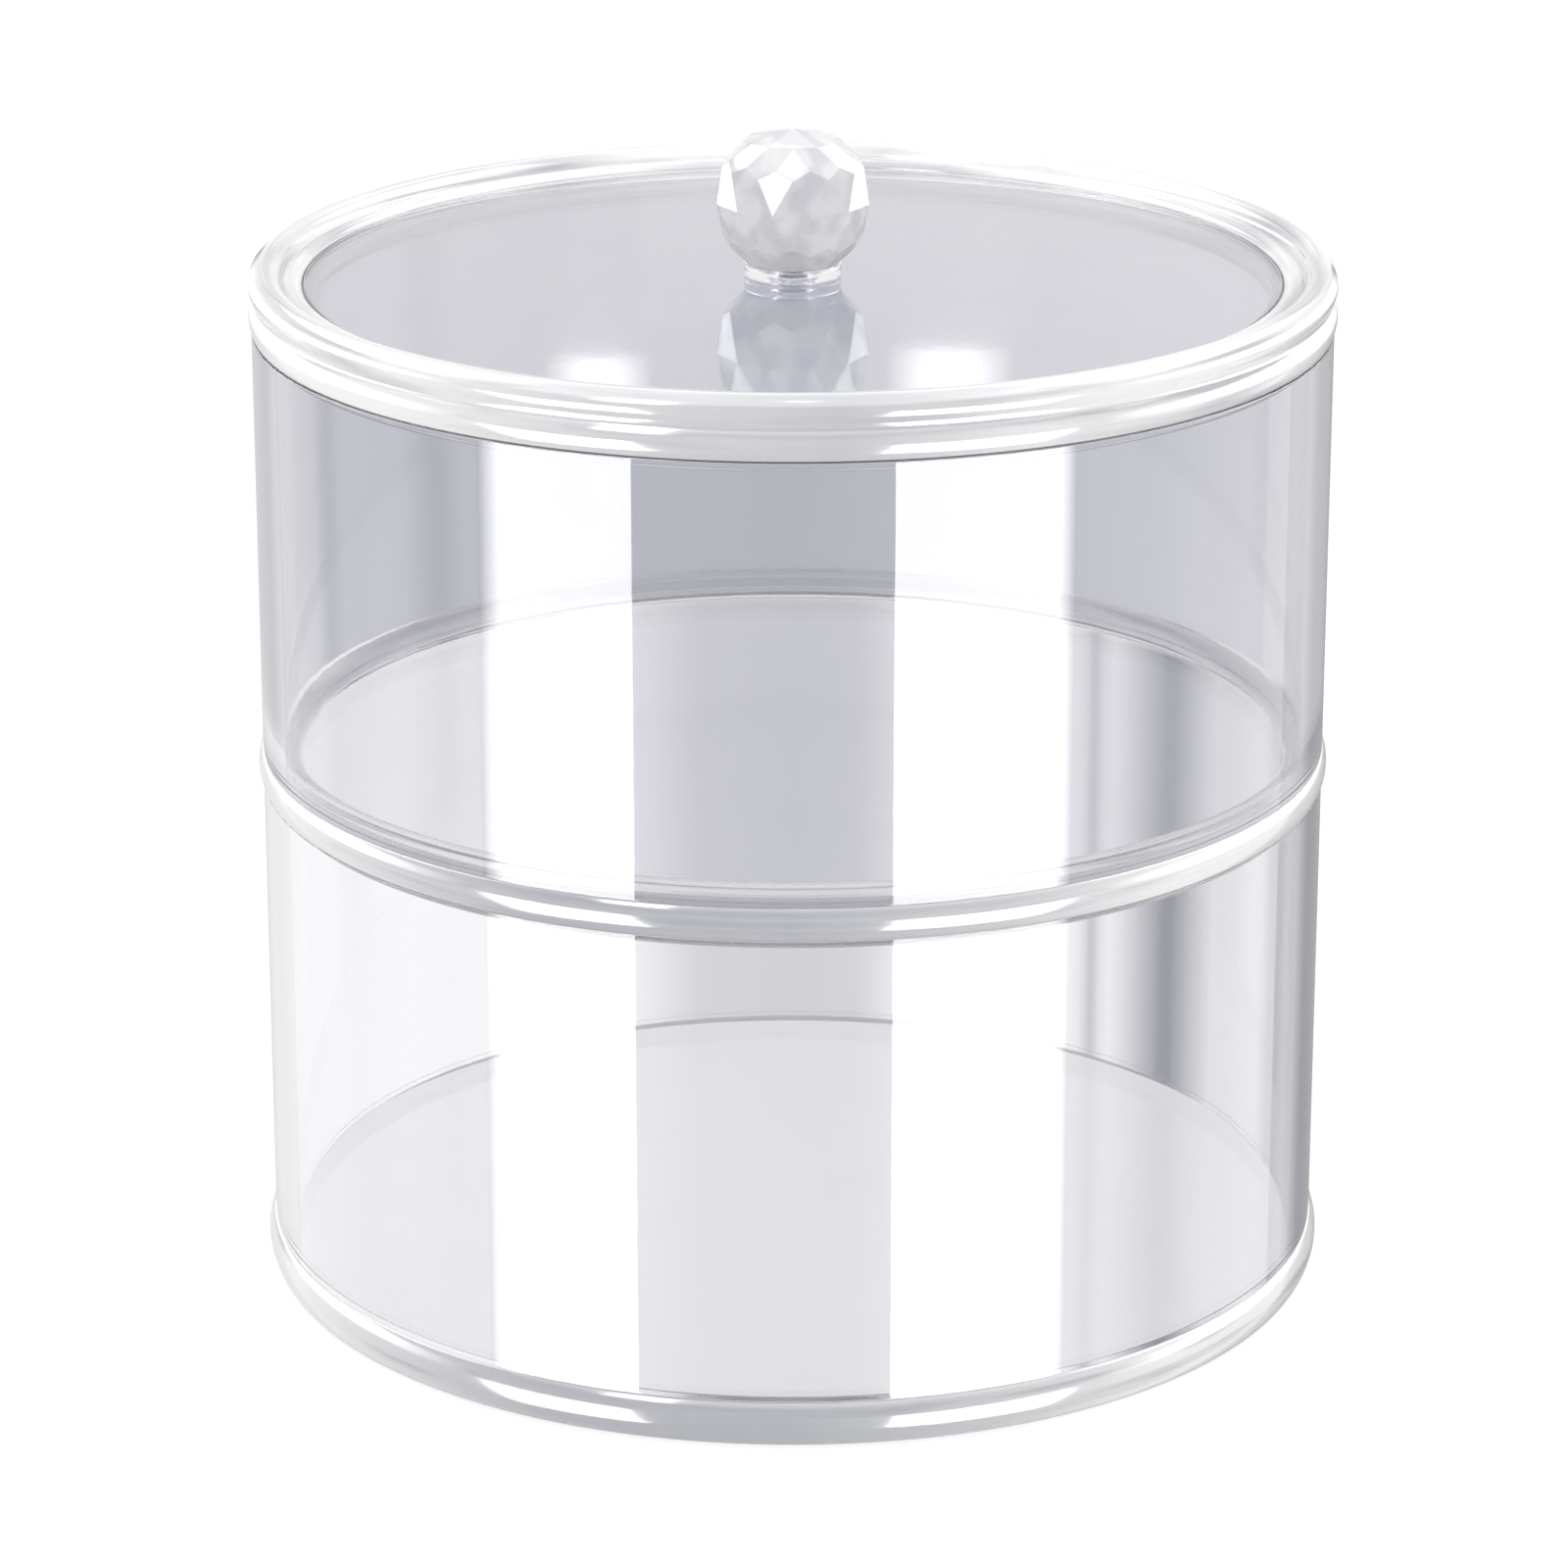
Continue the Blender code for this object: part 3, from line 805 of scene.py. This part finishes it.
# %% World
scene.world = bpy.data.worlds.new("white studio")
sky = Graph(scene.world, "Background")
direction = sky.node("ShaderNodeTexCoord", output="Generated")
height = sky.node("ShaderNodeSeparateXYZ", {}, {0: direction}, "Z")
bright = [(0.12, 0.25), (0.26, 0.2), (0.46, 0.2), (0.6, 0.55), (0.85, 0.55), (1.0, 0.3)]
mirrored = 4.0 * sky.ramp(bright, height)
behind = sky.ramp([(0.2, 1.0), (0.6, 0.72), (1.0, 0.6)], height)
from_front = sky.node("ShaderNodeSeparateXYZ", {}, {0: direction}, "Y") * 0.5 + 0.5
refracted_sky = behind * sky.ramp([(0.0, 0.45), (0.45, 0.8), (0.7, 1.0)], from_front)
camera_ray, glossy, transmitted, diffused = [
    sky.node("ShaderNodeLightPath", output=kind)
    for kind in ("Is Camera Ray", "Is Glossy Ray", "Is Transmission Ray", "Diffuse Depth")]
not_diffused = sky.node("ShaderNodeMath", {"operation": "LESS_THAN"}, {0: diffused, 1: 0.5})
refracted = transmitted * not_diffused
lit_sky = sky.blend(refracted, (1, 1, 1, 1), refracted_sky)
seen_sky = sky.blend(glossy * (1 - transmitted), lit_sky, mirrored)
sky.set(Color=sky.blend(camera_ray, seen_sky, (1, 1, 1, 1)), Strength=1.0)
print("world set")

# %% Lamps
def soft_box(name, first, last, low, high, distance, strength, fall):
    """An upright glowing sheet, turned to the box, that shows in reflections only and fills a span of
    azimuths, in degrees from the camera's side, anticlockwise seen from above. The glow grows from the
    first side and falls off to the last one by the stops of fall, as shares of the span."""
    turn = math.radians(first + last) / 2
    width = 2 * distance * math.tan(math.radians(last - first) / 2)
    middle = np.array([math.sin(turn), -math.cos(turn), 0]) * distance
    across = np.array([math.cos(turn), math.sin(turn), 0]) * width / 2
    ends = [(low, -1), (low, 1), (high, 1), (high, -1)]
    sheet_corners = [middle + across * end + np.array([0, 0, z]) for z, end in ends]
    box = mesh_piece(name, sheet_corners, [[0, 1, 2, 3]], False)
    glow = finish(name)
    glow.set(Base_Color=(0, 0, 0, 1), Specular_IOR_Level=0.0)
    across_share = (turn_share(glow) - 0.5 - first / 360) * (360 / (last - first))
    glow.set(Emission_Color=glow.ramp(fall, across_share), Emission_Strength=strength)
    box.data.materials.append(glow.owner)
    box.visible_camera = False
    box.visible_diffuse = False
    box.visible_transmission = False
    box.visible_shadow = False


BOX_DISTANCE = 0.6
EVEN = [(0.0, 1.0), (1.0, 1.0)]
SOFT = [(0.0, 0.0), (0.4, 1.0), (0.6, 1.0), (1.0, 0.0)]
SOFT_LEFT = [(0.0, 0.0), (0.16, 1.0)]
SOFT_RIGHT = [(0.9, 1.0), (1.0, 0.0)]
PATCH = [(0.0, 0.42), (0.35, 1.0), (0.65, 1.0), (1.0, 0.42)]
# name, first and last azimuth in degrees, foot and top height in metres, strength, fall
glowing_sheets = (
    ("left_soft_box", -66.0, -32.0, -0.42, -0.02, 14.0, SOFT_LEFT),
    ("right_soft_box", 20.1, 58.5, -0.42, -0.02, 14.0, SOFT_RIGHT),
    ("left_dark_card", -178.0, -135.0, -0.8, -0.02, 0.8, EVEN),
    ("right_dark_card", 125.0, 170.0, -0.8, -0.02, 0.45, EVEN),
    ("left_side_box", -165.0, -66.0, 0.42, 1.1, 6.0, SOFT),
    ("right_side_box", 62.0, 160.0, 0.42, 1.1, 6.0, SOFT),
    ("left_low_box", -165.0, -66.0, 0.0, 0.2, 7.0, SOFT),
    ("right_low_box", 62.0, 160.0, 0.0, 0.2, 7.0, SOFT),
    ("knob_light", -40.0, -26.0, 0.30, 0.60, 12.0, EVEN),
    ("high_light", -5.0, 11.0, 1.15, 2.0, 8.0, SOFT),
    ("pale_card_behind", -177.0, -169.0, 0.20, 0.34, 0.8, SOFT_RIGHT),
    ("left_patch_box", -177.2, -175.0, 0.279, 0.31, 2.0, PATCH),
    ("right_patch_box", 175.4, 178.0, 0.277, 0.31, 2.0, PATCH),
)
for name, first, last, low, high, strength, fall in glowing_sheets:
    soft_box(name, first, last, low, high, BOX_DISTANCE, strength, fall)

overhead = bpy.data.lights.new("overhead", "AREA")
overhead.shape = "DISK"
overhead.size = 1.2
overhead.energy = 3.0
overhead_lamp = bpy.data.objects.new("overhead", overhead)
overhead_lamp.location = (0, 0, 1.6)
scene.collection.objects.link(overhead_lamp)
print("lamps set")

# %% [markdown]
# ## View settings
#
# Light bounces many times inside clear pieces. With too few bounces the rims turn black, so the limits
# are raised.

# %% View settings
scene.view_settings.view_transform = "Standard"
scene.cycles.max_bounces = 32
scene.cycles.transmission_bounces = 32
scene.cycles.glossy_bounces = 16
scene.cycles.diffuse_bounces = 8
